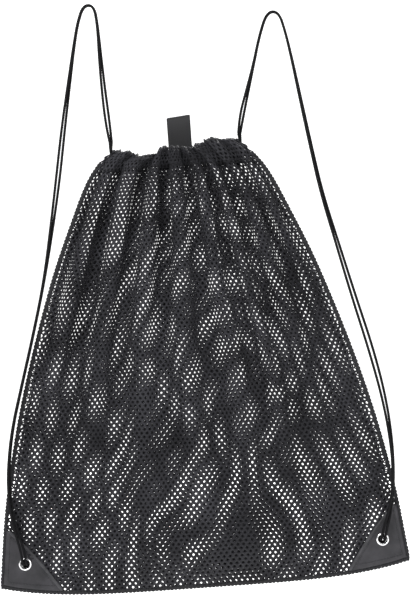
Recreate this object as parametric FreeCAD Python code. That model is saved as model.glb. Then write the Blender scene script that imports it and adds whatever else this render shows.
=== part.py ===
"""Mesh drawstring backpack, hanging by its two cord straps. Millimetres, +Z up, front towards -Y.

The row's origin is midway between the two hooks that hold the straps. The sack itself is drawn in
its own frame, x across, y through the depth and z up from the top of the neck, and then hung from
the neck with a small lean. Two mesh panels are sewn at the sides and the bottom. A folded hem at the
top of each panel makes the channel for the two drawcords, and each cord's two ends pass over a hook
and down to the eyelet in a bottom corner, where a knot behind the cloth holds them.
"""
import FreeCAD
import Part

import math
import os

V = FreeCAD.Vector

# How the sack hangs
NECK = V(-6.6, 0.0, -148.6)          # top centre of the neck, in the row's frame
LEAN = 4.0                           # degrees that the sack is turned towards the left at its top

# Outline of one flat side of the sack: how far below the neck, and half the width there
OUTLINE = [(0, 68), (14, 83), (36, 100), (73, 118), (150, 150), (275, 190), (385, 215), (480, 228)]
# Half the depth of the filled sack at its middle: how far below the neck, and the half depth there
DEPTHS = [(0, 15), (28, 17), (80, 24), (160, 34), (250, 42), (330, 45), (400, 39), (440, 28), (476, 0)]
FALL = 480.0                         # from the neck down to the bottom corners
SAG = 15.0                           # how much lower the bottom hangs at its middle
FULLNESS = 1.6                       # how quickly the depth falls off towards the side seams

CLOTH = 1.0                          # thickness of the mesh
SPACE = 0.4                          # from the middle plane to the inside of a panel at a seam
GAP = 0.15                           # left between sewn pieces that lie against each other
SEAM_WIDTH = 4.0
SEAM_THICKNESS = 3.6
HEM_HEIGHT = 28.0
HEM_DEPTH = 9.0
HEM_WALL = 1.0

PATCH_RISE = 65.0                    # leg of a corner patch up the side
PATCH_RUN = 66.0                     # leg of a corner patch along the bottom
PATCH_THICKNESS = 0.9
PATCH_LIFT = 0.35                    # from the mesh out to a patch

EYELET = (198.7, -455.1)             # across and up from the top of the neck
EYELET_HOLE = 4.8
EYELET_BARREL = 5.4
EYELET_FLANGE = 7.3
EYELET_METAL = 0.9
RIM_ROUND = 0.25                     # radius on the flange's front rim
BARREL_PLAY = 0.05                   # between the barrel and the washer around it
HOLE_TOOL = 40.0                     # length of the tool that cuts the eyelets' holes

CORD = 3.0                           # diameter of the drawcord
CORD_PITCH = 2.0                     # half the distance between the two strands of a strap
CORD_ROOM = 0.3                      # between a cord and the hem around it
CORD_END_BEHIND = 1.0                # a cord's second end stands this far behind the middle plane
EXIT_ACROSS = 71.5                   # where a strap leaves the neck
SWING_ROOM = 2.6                     # between a strap's end and the cord in the eyelet, for its swing
STRAP_STAND = 6.0                    # how far in front of the middle plane a strap ends at its eyelet

KNOT_RING = 3.6                      # radius of the knot's turn of cord, to the cord's middle
KNOT_THICKNESS = 2.3                 # radius of the knot's tightened cord
KNOT_CORE_INSET = 0.5                # how far the knot's core stays inside the turn
KNOT_STAND = 0.3                     # from the eyelet to the knot
TAIL_LENGTH = 17.0
TAIL_ACROSS = 2.2                    # half the distance between the tails where they leave the knot
TAIL_BEHIND = 0.8                    # how far behind the knot's middle they leave it
TAIL_SPREAD = 0.22                   # sideways and backwards shares of the tails' way down
TAIL_LEAN = 0.12

TAB_ACROSS = 5.0                     # the hang tab's middle, right of the neck's middle
TAB_WIDTH = 25.0
TAB_WEBBING = 1.3
TAB_BEHIND = 26.2
TAB_TOP = 31.0
TAB_BULGE = 4.4                      # outer radius of the loop's rounded top
TAB_PINCH = 1.35                     # half the depth of the loop at its foot
TAB_FOOT = 0.8                       # how far above the neck's top the loop starts
LEAST_OPENING = 0.2                  # half of the least space left inside the loop
TAIL_TOP = -2.0
TAIL_FOOT = -24.0

# The straps, in the row's frame, from the neck over the hook to the eyelet: the middle of the two
# strands as (x, y, z), and half the distance between them across.
LEFT_STRAP = [
    (-78.2, 0.0, -149.1, 1.0),
    (-81.2, 0.0, -131.0, 2.3),
    (-86.2, 0.0, -92.0, 1.9),
    (-90.2, 0.0, -52.0, 1.1),
    (-92.8, 0.0, -20.0, 0.2),
    (-96.8, 0.0, 3.3, 0.2),
    (-108.6, 0.0, 3.6, 0.2),
    (-114.8, -0.3, -15.0, 0.2),
    (-118.8, -0.5, -39.0, 0.3),
    (-124.4, -0.8, -82.0, 1.0),
    (-130.8, -1.5, -132.0, 1.8),
    (-136.8, -2.6, -190.0, 2.1),
    (-144.0, -4.6, -248.0, 1.2),
    (-152.4, -6.2, -306.0, 0.2),
    (-163.8, -6.6, -362.0, 0.2),
    (-176.4, -6.8, -418.0, 0.2),
    (-187.8, -7.2, -470.0, 0.3),
    (-191.8, -7.8, -520.0, 0.6),
    (-187.8, -9.0, -560.0, 1.2),
    (-179.6, -11.0, -588.0, 1.7),
    (-174.6, -12.6, -603.0, 2.0),
    (-173.1, -12.6, -616.5, 2.0),
    (-173.1, -6.0, -616.5, 2.0),
]
RIGHT_STRAP = [
    (64.4, 0.0, -139.1, 1.0),
    (66.6, 0.0, -120.0, 2.2),
    (73.2, 0.0, -92.0, 1.3),
    (80.2, 0.0, -62.0, 0.3),
    (87.2, 0.0, -28.0, 0.2),
    (95.2, 0.0, -3.8, 0.2),
    (108.2, 0.0, -3.4, 0.2),
    (115.6, -0.3, -26.0, 0.2),
    (122.8, -0.6, -56.0, 0.4),
    (131.8, -1.2, -98.0, 0.8),
    (143.2, -1.8, -150.0, 1.0),
    (155.8, -2.6, -205.0, 1.2),
    (173.0, -3.4, -260.0, 1.7),
    (190.8, -4.6, -318.0, 2.3),
    (210.4, -5.4, -378.0, 2.7),
    (225.4, -6.4, -434.0, 2.0),
    (233.8, -7.0, -486.0, 1.0),
    (235.2, -8.4, -530.0, 0.6),
    (229.8, -10.4, -562.0, 1.4),
    (225.2, -12.6, -577.0, 2.0),
    (223.4, -12.6, -588.7, 2.0),
    (223.4, -6.0, -588.7, 2.0),
]

# One cord's run through both hems, in the sack's frame and seen from its own side: (out towards its
# strap, back from the middle plane, up), from the strap's front strand to the loop at the far end.
# The other half is the same with y turned round.
HEM_RUN = [
    (72.5, -1.7, 2.2),
    (72.2, -7.2, -2.2),
    (71.6, -7.4, -8.2),
    (54.0, -10.6, -8.4),
    (22.0, -17.9, -8.0),
    (-16.0, -18.9, -8.3),
    (-48.0, -11.2, -8.0),
    (-70.0, -4.1, -8.3),
    (-79.5, -3.4, -8.0),
]
HEM_RUN_DROP = {"left": 0.0, "right": 4.4}   # the right cord lies this much lower in the hems


def smooth(table, at):
    """Reads a table of (place, value) with a smooth curve through its rows, level past its ends."""
    if at <= table[0][0]:
        return float(table[0][1])
    if at >= table[-1][0]:
        return float(table[-1][1])
    row = max(i for i in range(len(table) - 1) if table[i][0] <= at)

    def slope(i):
        low, high = max(i - 1, 0), min(i + 1, len(table) - 1)
        return (table[high][1] - table[low][1]) / (table[high][0] - table[low][0])

    (x0, y0), (x1, y1) = table[row], table[row + 1]
    span = x1 - x0
    t = (at - x0) / span
    rise = y1 - y0
    bend = (slope(row) * span - rise) * (1 - t) - (slope(row + 1) * span - rise) * t
    return y0 + rise * t + t * (1 - t) * bend


def half_width(below):
    return smooth(OUTLINE, below)


def bottom_edge(share):
    """How far below the neck the bottom hangs, at a share of the half width from the middle."""
    return FALL + SAG * (1 - share**4)


def half_depth(share, below):
    """Half the depth of the sack inside, which goes flat at the seams and at the corner patches."""
    lowered = below - (bottom_edge(share) - FALL) * (below / FALL) ** 2
    corner = (abs(share) * half_width(below) - (half_width(FALL) - PATCH_RUN)) / PATCH_RUN
    corner += (below - (FALL - PATCH_RISE)) / PATCH_RISE
    flat = min(1.0, max(0.0, (corner - 0.05) / 0.95))
    flat = flat * flat * (3 - 2 * flat)
    return smooth(DEPTHS, lowered) * (1 - share**2) ** FULLNESS * (1 - flat)


def skin(share, below, out):
    """A point of the front side, out from its inside face. The share runs from seam to seam."""
    across = share * (half_width(below) - SEAM_WIDTH - GAP)
    return V(across, -(SPACE + half_depth(share, below) + out), -below)


def face_through(grid):
    surface = Part.BSplineSurface()
    surface.interpolate(grid)
    return surface.toShape()


def slab(near, far):
    """A closed solid between two grids of points that have the same rows and columns."""
    near_face, far_face = face_through(near), face_through(far)
    sides = [Part.makeRuledSurface(a, b) for a, b in zip(near_face.Edges, far_face.Edges)]
    shell = Part.makeShell([near_face, far_face, *sides])
    shell.sewShape()
    solid = Part.makeSolid(shell)
    if solid.Volume < 0:
        solid.reverse()
    return solid


def spread(low, high, count):
    return [low + (high - low) * i / (count - 1) for i in range(count)]


def turned(shape):
    """The same piece on the back of the sack."""
    return shape.mirror(V(0, 0, 0), V(0, 1, 0))


def across(shape):
    """The same piece on the right of the sack, from the left."""
    return shape.mirror(V(0, 0, 0), V(1, 0, 0))


def hung(shape):
    """Puts a piece from the sack's frame where it hangs in the row's frame."""
    placed = shape.copy()
    placed.rotate(V(0, 0, 0), V(0, -1, 0), LEAN)
    placed.translate(NECK)
    return placed


def front_panel():
    top = HEM_HEIGHT + GAP

    def side(out):
        rows = []
        for share_down in spread(0, 1, 49):
            row = []
            for share in spread(-1, 1, 61):
                end = bottom_edge(share) - SEAM_WIDTH - GAP
                row.append(skin(share, top + (end - top) * share_down, out))
            rows.append(row)
        return rows

    panel = slab(side(0), side(CLOTH))
    for x in (-EYELET[0], EYELET[0]):
        panel = panel.cut(eyelet_hole(x, EYELET_BARREL + GAP))
    return panel


def eyelet_hole(x, radius):
    return Part.makeCylinder(radius, HOLE_TOOL, V(x, -HOLE_TOOL / 2, EYELET[1]), V(0, 1, 0))


def front_hem():
    """The folded hem: a flat tube, open at both ends for the cords."""
    def side(out, top, foot, reach):
        rows = []
        for below in spread(top, foot, 7):
            row = [skin(share, below, out) for share in spread(-1, 1, 31)]
            for point in row:
                point.x *= reach
            rows.append(row)
        return rows

    tube = slab(side(0, 0, HEM_HEIGHT, 1), side(HEM_DEPTH, 0, HEM_HEIGHT, 1))
    inside = (HEM_WALL, HEM_HEIGHT - HEM_WALL, 1.1)
    room = slab(side(HEM_WALL, *inside), side(HEM_DEPTH - HEM_WALL, *inside))
    return tube.cut(room)


def left_side_seam():
    def side(y):
        rows = []
        for below in spread(HEM_HEIGHT + GAP, FALL - SEAM_WIDTH - GAP, 19):
            edge = -half_width(below)
            rows.append([V(edge + inward, y, -below) for inward in (0, SEAM_WIDTH / 2, SEAM_WIDTH)])
        return rows

    return slab(side(-SEAM_THICKNESS / 2), side(SEAM_THICKNESS / 2))


def bottom_seam():
    half = half_width(FALL)

    def side(y):
        rows = []
        for lift in (SEAM_WIDTH, SEAM_WIDTH / 2, 0):
            row = [V(share * half, y, lift - bottom_edge(share)) for share in spread(-1, 1, 21)]
            rows.append(row)
        return rows

    return slab(side(-SEAM_THICKNESS / 2), side(SEAM_THICKNESS / 2))


def left_front_patch():
    """A triangle over the corner, from the seams to its long slanting edge."""
    inside_seam = SEAM_WIDTH + GAP

    def side(out):
        rows = []
        for down in spread(0.03, 1, 21):
            row = []
            for over in spread(0, 1, 21):
                level = FALL - PATCH_RISE + down * (PATCH_RISE - inside_seam)
                edge = half_width(level) - inside_seam
                inward = down * PATCH_RUN * over
                share = -(edge - inward) / edge
                level += down**2 * (bottom_edge(share) - FALL)
                row.append(skin(share, level, out))
            rows.append(row)
        return rows

    patch = slab(side(CLOTH + PATCH_LIFT), side(CLOTH + PATCH_LIFT + PATCH_THICKNESS))
    return patch.cut(eyelet_hole(-EYELET[0], EYELET_BARREL + GAP))


def eyelet_face():
    """How far the front face of a patch stands from the middle plane under an eyelet's flange."""
    level = -EYELET[1] - EYELET_FLANGE
    share = (EYELET[0] - EYELET_FLANGE) / (half_width(level) - SEAM_WIDTH - GAP)
    return -skin(share, level, CLOTH + PATCH_LIFT + PATCH_THICKNESS).y


def ring(x, outer, inner, start, length):
    axis = V(0, 1, 0)
    at = V(x, start, EYELET[1])
    return Part.makeCylinder(outer, length, at, axis).cut(Part.makeCylinder(inner, length, at, axis))


def left_eyelet():
    """The barrel through the cloth, with its rounded flange on the front."""
    reach = eyelet_face() + GAP
    barrel = ring(-EYELET[0], EYELET_BARREL, EYELET_HOLE, -reach - EYELET_METAL, 2 * (reach + EYELET_METAL))
    flange = ring(-EYELET[0], EYELET_FLANGE, EYELET_HOLE, -reach - EYELET_METAL, EYELET_METAL)
    eyelet = barrel.fuse(flange).removeSplitter()
    rim = [e for e in eyelet.Edges if abs(e.BoundBox.YMax + reach + EYELET_METAL) < 0.01]
    return eyelet.makeFillet(RIM_ROUND, rim)


def left_washer():
    """The ring that the barrel is clinched over, behind the cloth."""
    reach = eyelet_face() + GAP
    return ring(-EYELET[0], EYELET_FLANGE, EYELET_BARREL + BARREL_PLAY, reach, EYELET_METAL)


def cord_path(points, name):
    """Straight runs joined by tangent arcs, each as large as its two runs allow."""
    edges = []
    start = points[0]
    radii = []
    for before, corner, after in zip(points, points[1:], points[2:]):
        arrive = corner - before
        leave = after - corner
        shorter = min(arrive.Length, leave.Length)
        turn = arrive.getAngle(leave)
        inward = 0.45 * shorter
        radii.append(inward / math.tan(turn / 2))
        arrive.normalize()
        leave.normalize()
        begin = corner - arrive * inward
        end = corner + leave * inward
        to_middle = (leave - arrive).normalize()
        radius = radii[-1]
        middle = corner + to_middle * (radius / math.cos(turn / 2) - radius)
        edges.append(Part.LineSegment(start, begin).toShape())
        edges.append(Part.Arc(begin, middle, end).toShape())
        start = end
    edges.append(Part.LineSegment(start, points[-1]).toShape())
    path = Part.Wire(edges)
    print(name, "length", round(path.Length, 1), "radii", [round(r, 1) for r in radii])
    return path


def cord_tube(points, name, diameter=CORD):
    path = cord_path(points, name)
    section = Part.Wire([Part.Circle(points[0], points[1] - points[0], diameter / 2).toShape()])
    tube = path.makePipeShell([section], True, False)
    wanted = math.pi * diameter**2 / 4 * path.Length
    print(name, "volume", round(tube.Volume, 1), "section times length", round(wanted, 1))
    return tube


def strand(strap, side):
    """One of a strap's two strands. They keep a cord's width apart, beside or behind each other."""
    points = []
    for x, y, z, half_gap in strap:
        depth = math.sqrt(max(0.0, CORD_PITCH**2 - half_gap**2))
        points.append(V(x + side * half_gap, y + side * depth, z))
    return points


def hem_cord_points(which):
    """The whole way of one cord through both hems, in the sack's frame."""
    out = {"left": -1, "right": 1}[which]
    drop = HEM_RUN_DROP[which]
    front = []
    for index, (towards, y, z) in enumerate(HEM_RUN):
        lowered = z if index < 2 else z - drop
        front.append(V(out * towards, y, lowered))
    back = [V(p.x, -p.y, p.z) for p in reversed(front)]
    back[-1] = V(out * (2 * EXIT_ACROSS - HEM_RUN[0][0]), CORD_END_BEHIND, HEM_RUN[0][2])
    return front + back


def hem_cord(which):
    return cord_tube(hem_cord_points(which), which + "_hem_cord")


def left_knot():
    """The cord's two ends: through the eyelet side by side, then a knot behind it and two tails."""
    x, z = -EYELET[0], EYELET[1]
    front = -STRAP_STAND + SWING_ROOM
    behind = eyelet_face() + GAP + EYELET_METAL + KNOT_STAND
    middle = behind + KNOT_THICKNESS
    radius = CORD / 2
    pieces = [Part.makeTorus(KNOT_RING, KNOT_THICKNESS, V(x, middle, z), V(0, 1, 0))]
    core_radius = KNOT_RING - KNOT_CORE_INSET
    core_length = 2 * (KNOT_THICKNESS - KNOT_CORE_INSET)
    core_start = V(x, behind + KNOT_CORE_INSET, z)
    pieces.append(Part.makeCylinder(core_radius, core_length, core_start, V(0, 1, 0)))
    for side in (-1, 1):
        at = V(x + side * CORD_PITCH, front, z)
        pieces.append(Part.makeCylinder(radius, middle - front, at, V(0, 1, 0)))
        tail_start = V(x + side * TAIL_ACROSS, middle + TAIL_BEHIND, z)
        tail_way = V(side * TAIL_SPREAD, TAIL_LEAN, -1)
        pieces.append(Part.makeCylinder(radius, TAIL_LENGTH, tail_start, tail_way))
    knot = pieces[0]
    for piece in pieces[1:]:
        knot = knot.fuse(piece)
    return knot.removeSplitter()


def tab_loop():
    """The hang tab's free loop of webbing, seen from its side and drawn out across its width."""
    def outline(inset):
        foot = TAB_FOOT + inset
        pinch = max(TAB_PINCH - inset, LEAST_OPENING)
        bulge = TAB_BULGE - inset
        top = TAB_TOP - TAB_BULGE
        left = V(0, TAB_BEHIND - pinch, foot)
        right = V(0, TAB_BEHIND + pinch, foot)
        shoulder_left = V(0, TAB_BEHIND - bulge, top)
        shoulder_right = V(0, TAB_BEHIND + bulge, top)
        crown = V(0, TAB_BEHIND, top + bulge)
        edges = [
            Part.LineSegment(left, shoulder_left).toShape(),
            Part.Arc(shoulder_left, crown, shoulder_right).toShape(),
            Part.LineSegment(shoulder_right, right).toShape(),
            Part.LineSegment(right, left).toShape(),
        ]
        return Part.Face(Part.Wire(edges))

    webbing = outline(0).cut(outline(TAB_WEBBING))
    loop = webbing.extrude(V(TAB_WIDTH, 0, 0))
    loop.translate(V(TAB_ACROSS - TAB_WIDTH / 2, 0, 0))
    return loop.Solids[0]


def tab_tail():
    """The tab's sewn end, flat on the back hem."""
    behind = SPACE + smooth(DEPTHS, HEM_HEIGHT) + HEM_DEPTH + GAP
    corner = V(TAB_ACROSS - TAB_WIDTH / 2, behind, TAIL_FOOT)
    return Part.makeBox(TAB_WIDTH, TAB_WEBBING, TAIL_TOP - TAIL_FOOT, corner)


def sack_pieces():
    panel = front_panel()
    hem = front_hem()
    for which in ("left", "right"):
        hem = hem.cut(cord_tube(hem_cord_points(which), which + "_room", CORD + 2 * CORD_ROOM))
    patch = left_front_patch()
    seam = left_side_seam()
    eyelet, washer, knot = left_eyelet(), left_washer(), left_knot()
    return {
        "front_panel": panel,
        "back_panel": turned(panel),
        "front_hem": hem,
        "back_hem": turned(hem),
        "left_side_seam": seam,
        "right_side_seam": across(seam),
        "bottom_seam": bottom_seam(),
        "left_front_patch": patch,
        "right_front_patch": across(patch),
        "left_back_patch": turned(patch),
        "right_back_patch": across(turned(patch)),
        "left_eyelet": eyelet,
        "right_eyelet": across(eyelet),
        "left_washer": washer,
        "right_washer": across(washer),
        "left_knot": knot,
        "right_knot": across(knot),
        "left_hem_cord": hem_cord("left"),
        "right_hem_cord": hem_cord("right"),
        "tab_tail": tab_tail(),
        "tab_loop": tab_loop(),
    }


def strap_pieces():
    found = {}
    for which, strap in (("left", LEFT_STRAP), ("right", RIGHT_STRAP)):
        for place, side in (("front", -1), ("back", 1)):
            name = f"{which}_strap_{place}_strand"
            found[name] = cord_tube(strand(strap, side), name)
    return found


def main():
    os.makedirs("parts", exist_ok=True)
    pieces = {name: hung(shape) for name, shape in sack_pieces().items()}
    pieces.update(strap_pieces())
    for name, shape in pieces.items():
        box = shape.BoundBox
        print(name, shape.isValid(), len(shape.Solids), round(shape.Volume), box)
        shape.exportStep(f"parts/{name}.step")


main()
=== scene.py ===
"""Looks of a mesh drawstring backpack that hangs by its two cord straps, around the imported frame.

Lengths in the tables are millimetres in the sack's own frame (x across, y through the depth, z up
from the top of the neck) or in the row's frame, as each table says. Every object is in metres.
"""
import math

import bpy
import numpy as np
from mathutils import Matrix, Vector
from mathutils.geometry import delaunay_2d_cdt


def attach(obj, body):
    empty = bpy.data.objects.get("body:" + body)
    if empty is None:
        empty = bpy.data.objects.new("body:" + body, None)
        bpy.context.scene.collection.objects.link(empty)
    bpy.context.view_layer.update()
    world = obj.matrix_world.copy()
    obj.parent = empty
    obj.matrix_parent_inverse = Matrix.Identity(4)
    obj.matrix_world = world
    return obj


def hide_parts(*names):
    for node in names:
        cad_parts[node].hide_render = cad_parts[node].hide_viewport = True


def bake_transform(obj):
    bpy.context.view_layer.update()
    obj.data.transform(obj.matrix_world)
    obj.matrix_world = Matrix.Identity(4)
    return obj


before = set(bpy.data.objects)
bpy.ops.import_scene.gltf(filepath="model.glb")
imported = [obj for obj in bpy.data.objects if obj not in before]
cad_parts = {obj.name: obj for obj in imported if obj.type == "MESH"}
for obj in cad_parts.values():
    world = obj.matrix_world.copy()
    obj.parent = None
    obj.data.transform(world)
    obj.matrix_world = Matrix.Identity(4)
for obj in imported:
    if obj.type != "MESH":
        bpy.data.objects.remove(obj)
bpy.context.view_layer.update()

MM = 0.001
TURN = 2 * math.pi
TINY = 1e-12

# ---- the sack, as in the CAD source
NECK = np.array([-6.6, 0.0, -148.6])
LEAN = math.radians(4.0)
# Half the width and half the depth at distances below the neck
OUTLINE = [(0, 68), (14, 83), (36, 100), (73, 118), (150, 150), (275, 190), (385, 215), (480, 228)]
DEPTHS = [
    (0, 15), (28, 17), (80, 24), (160, 34), (250, 42), (330, 45), (400, 39), (440, 28), (476, 0),
]
FALL = 480.0
SAG = 15.0
FULLNESS = 1.6
SPACE = 0.4
SEAM_WIDTH = 4.0
SEAM_GAP = 0.15
SEAM_COVER = 3.3  # how far in from the edge the net and patches reach under the seam
HEM_HEIGHT = 28.0
PATCH_RISE = 65.0
PATCH_RUN = 66.0
EYELET_X = 198.7
EYELET_Z = -455.1
CORD = 3.0
CORD_PITCH = 2.0
EXIT_ACROSS = 71.5

# The straps in the row's frame: the middle of the two strands as (x, y, z), and half their distance
# across. A last point in the eyelet's mouth carries each strand on to its knot.
LEFT_STRAP = [
    (-78.2, 0, -149.1, 1), (-81.2, 0, -131, 2.3), (-86.2, 0, -92, 1.9),
    (-90.2, 0, -52, 1.1), (-92.8, 0, -20, 0.2), (-96.8, 0, 3.3, 0.2),
    (-108.6, 0, 3.6, 0.2), (-114.8, -0.3, -15, 0.2), (-118.8, -0.5, -39, 0.3),
    (-124.4, -0.8, -82, 1), (-130.8, -1.5, -132, 1.8), (-136.8, -2.6, -190, 2.1),
    (-144, -4.6, -248, 1.2), (-152.4, -6.2, -306, 0.2), (-163.8, -6.6, -362, 0.2),
    (-176.4, -6.8, -418, 0.2), (-187.8, -7.2, -470, 0.3), (-191.8, -7.8, -520, 0.6),
    (-187.8, -9, -560, 1.2), (-179.6, -11, -588, 1.7), (-174.6, -12.6, -603, 2),
    (-173.1, -12, -616.5, 2), (-173.1, -3, -616.5, 2),
]
RIGHT_STRAP = [
    (64.4, 0, -139.1, 1), (66.6, 0, -120, 2.2), (73.2, 0, -92, 1.3),
    (80.2, 0, -62, 0.3), (87.2, 0, -28, 0.2), (95.2, 0, -3.8, 0.2),
    (108.2, 0, -3.4, 0.2), (115.6, -0.3, -26, 0.2), (122.8, -0.6, -56, 0.4),
    (131.8, -1.2, -98, 0.8), (143.2, -1.8, -150, 1), (155.8, -2.6, -205, 1.2),
    (173, -3.4, -260, 1.7), (190.8, -4.6, -318, 2.3), (210.4, -5.4, -378, 2.7),
    (225.4, -6.4, -434, 2), (233.8, -7, -486, 1), (235.2, -8.4, -530, 0.6),
    (229.8, -10.4, -562, 1.4), (225.2, -12.6, -577, 2), (223.4, -12, -588.7, 2),
    (223.4, -3, -588.7, 2),
]
# One cord's run through both hems, in the sack's frame and seen from its own side. Most of it is a
# few millimetres lower than in the CAD source, so that it stays inside the dipped edge of the looks.
HEM_RUN = [
    (72.5, -1.7, 4.9), (72.2, -7.2, -2.2), (71.6, -7.4, -12.6),
    (54, -10.6, -15.4), (22, -17.9, -15.8), (-16, -18.9, -14.6),
    (-48, -11.2, -15.4), (-67, -5.3, -12.4), (-75.5, -5, -9),
]
HEM_RUN_DROP = {"left": 0.0, "right": 3.6}  # how much lower each cord runs
HEM_RUN_EXIT = 2  # past its first points, which are at the neck's exit
HEM_RUN_BACK = 1.7  # how far behind the middle plane the cord ends


def smooth(table, at):
    """Reads a table of (place, value) with a smooth curve through its rows, level past its ends."""
    xs, ys = np.array(table, float).T
    at = np.clip(np.asarray(at, float), xs[0], xs[-1])
    last = len(xs) - 1
    low = np.maximum(np.arange(len(xs)) - 1, 0)
    high = np.minimum(np.arange(len(xs)) + 1, last)
    slope = (ys[high] - ys[low]) / (xs[high] - xs[low])
    row = np.clip(np.searchsorted(xs, at, side="right") - 1, 0, last - 1)
    span = xs[row + 1] - xs[row]
    rise = ys[row + 1] - ys[row]
    t = (at - xs[row]) / span
    bend = (slope[row] * span - rise) * (1 - t) - (slope[row + 1] * span - rise) * t
    return ys[row] + rise * t + t * (1 - t) * bend


def running(steps):
    """Running totals that start at 0."""
    return np.concatenate([[0], np.cumsum(steps)])


def step(low, high, at):
    """0 before low, 1 after high, and smooth between them."""
    t = np.clip((np.asarray(at, float) - low) / (high - low), 0, 1)
    return t * t * (3 - 2 * t)


def half_width(below):
    return smooth(OUTLINE, below)


def bottom_edge(share):
    """How far below the neck the curved bottom is at a share of the width."""
    return FALL + SAG * (1 - share**4)


def sagged(share, q):
    """How far below the neck a row of the cloth is, once it follows the curved bottom."""
    return q + (bottom_edge(share) - FALL) * (q / FALL) ** 2


def half_depth(share, below):
    lowered = below - (bottom_edge(share) - FALL) * (below / FALL) ** 2
    corner = (np.abs(share) * half_width(below) - (half_width(FALL) - PATCH_RUN)) / PATCH_RUN
    corner = corner + (below - (FALL - PATCH_RISE)) / PATCH_RISE
    flat = step(0.05, 1.0, corner)
    return smooth(DEPTHS, lowered) * (1 - share**2) ** FULLNESS * (1 - flat)


def skin(share, below):
    """Across and half depth of the sack at a share of its width, and that far below the neck."""
    across = share * (half_width(below) - SEAM_COVER)
    return across, SPACE + half_depth(share, below)


def hung(points):
    """From the sack's frame in millimetres to the row's frame in metres."""
    points = np.asarray(points, float)
    x, y, z = points[..., 0], points[..., 1], points[..., 2]
    cos, sin = math.cos(LEAN), math.sin(LEAN)
    placed = np.stack([x * cos - z * sin, y, x * sin + z * cos], -1)
    return (placed + NECK) * MM


# ---- materials
SHEEN_ROUGHNESS = 0.5
PER_METRE = 1000


def put(made, key, value):
    made.inputs[key].default_value = value


def material(name, roughness, metallic=0.0, sheen=0.0, coat=0.0, gloss=0.22):
    made = bpy.data.materials.new(name)
    made.use_nodes = True
    shader = made.node_tree.nodes["Principled BSDF"]
    put(shader, "Roughness", roughness)
    put(shader, "Metallic", metallic)
    put(shader, "Sheen Weight", sheen)
    put(shader, "Sheen Roughness", SHEEN_ROUGHNESS)
    put(shader, "Coat Weight", coat)
    put(shader, "Specular IOR Level", gloss)
    return made, made.node_tree, shader


def place_node(tree, stretch=(1, 1, 1)):
    """Object coordinates in millimetres."""
    coordinates = tree.nodes.new("ShaderNodeTexCoord")
    mapping = tree.nodes.new("ShaderNodeMapping")
    put(mapping, "Scale", [PER_METRE * s for s in stretch])
    tree.links.new(coordinates.outputs["Object"], mapping.inputs["Vector"])
    return mapping.outputs["Vector"]


def tint(tree, shader, fac, dark, light, low=0.3, high=0.7):
    ramp = tree.nodes.new("ShaderNodeValToRGB")
    ramp.color_ramp.elements[0].position = low
    ramp.color_ramp.elements[1].position = high
    ramp.color_ramp.elements[0].color = (*dark, 1)
    ramp.color_ramp.elements[1].color = (*light, 1)
    tree.links.new(fac, ramp.inputs["Fac"])
    tree.links.new(ramp.outputs["Color"], shader.inputs["Base Color"])


def spread_roughness(tree, shader, fac, low, high):
    ranged = tree.nodes.new("ShaderNodeMapRange")
    put(ranged, "To Min", low)
    put(ranged, "To Max", high)
    tree.links.new(fac, ranged.inputs["Value"])
    tree.links.new(ranged.outputs["Result"], shader.inputs["Roughness"])


def bumps(tree, shader, heights):
    """Stacks bump nodes. Each height is (socket, distance in millimetres, strength)."""
    before = None
    for socket, distance, strength in heights:
        bump = tree.nodes.new("ShaderNodeBump")
        put(bump, "Distance", distance * MM)
        put(bump, "Strength", strength)
        tree.links.new(socket, bump.inputs["Height"])
        if before is not None:
            tree.links.new(before.outputs["Normal"], bump.inputs["Normal"])
        before = bump
    tree.links.new(before.outputs["Normal"], shader.inputs["Normal"])


def texture(tree, place, kind, scale):
    made = tree.nodes.new("ShaderNodeTex" + kind)
    put(made, "Scale", scale)
    tree.links.new(place, made.inputs["Vector"])
    return made


def noise(tree, place, scale, detail=2.0, rough=0.5):
    made = texture(tree, place, "Noise", scale)
    put(made, "Detail", detail)
    put(made, "Roughness", rough)
    return made.outputs["Fac"]


def wave(tree, place, scale, direction, distortion=0.0):
    made = texture(tree, place, "Wave", scale)
    made.wave_type = "BANDS"
    made.bands_direction = direction
    put(made, "Distortion", distortion)
    put(made, "Detail", 1.0)
    return made.outputs["Fac"]


def cells(tree, place, scale, feature="F1"):
    made = texture(tree, place, "Voronoi", scale)
    made.feature = feature
    return made.outputs["Distance"]


def mixed(tree, a, b, how="MULTIPLY"):
    made = tree.nodes.new("ShaderNodeMath")
    made.operation = how
    tree.links.new(a, made.inputs[0])
    tree.links.new(b, made.inputs[1])
    return made.outputs[0]


def knit_material():
    """Warp-knitted polyester net: fine looped yarns, slightly glossy, greyer where it is worn."""
    made, tree, shader = material("net_knit", 0.6, sheen=0.02, gloss=0.10)
    place = place_node(tree)
    slanting = wave(tree, place, 0.42, "DIAGONAL", 1.5)
    loops = mixed(tree, slanting, wave(tree, place, 0.55, "Z", 2.0), "ADD")
    fuzz = noise(tree, place, 2.2, 3.0)
    large = noise(tree, place, 0.02, 2.0)
    worn = mixed(tree, large, fuzz)
    tint(tree, shader, worn, (0.0075, 0.0075, 0.009), (0.031, 0.031, 0.036), 0.12, 0.42)
    spread_roughness(tree, shader, fuzz, 0.42, 0.7)
    bumps(tree, shader, [(loops, 0.14, 0.6), (fuzz, 0.08, 0.4)])
    return made


def leather_material():
    """Coated patch: a fine pebbled grain, paler along worn places."""
    made, tree, shader = material("patch_grain", 0.45, coat=0.08)
    put(shader, "Coat Roughness", 0.35)
    place = place_node(tree)
    pebble = cells(tree, place, 1.1)
    creases = cells(tree, place, 0.45, "DISTANCE_TO_EDGE")
    cloud = noise(tree, place, 0.06, 4.0, 0.6)
    tint(tree, shader, cloud, (0.013, 0.013, 0.015), (0.029, 0.028, 0.032), 0.35, 0.68)
    spread_roughness(tree, shader, cloud, 0.34, 0.55)
    bumps(tree, shader, [(pebble, 0.10, 0.35), (creases, 0.12, 0.25), (cloud, 0.4, 0.2)])
    return made


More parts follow.
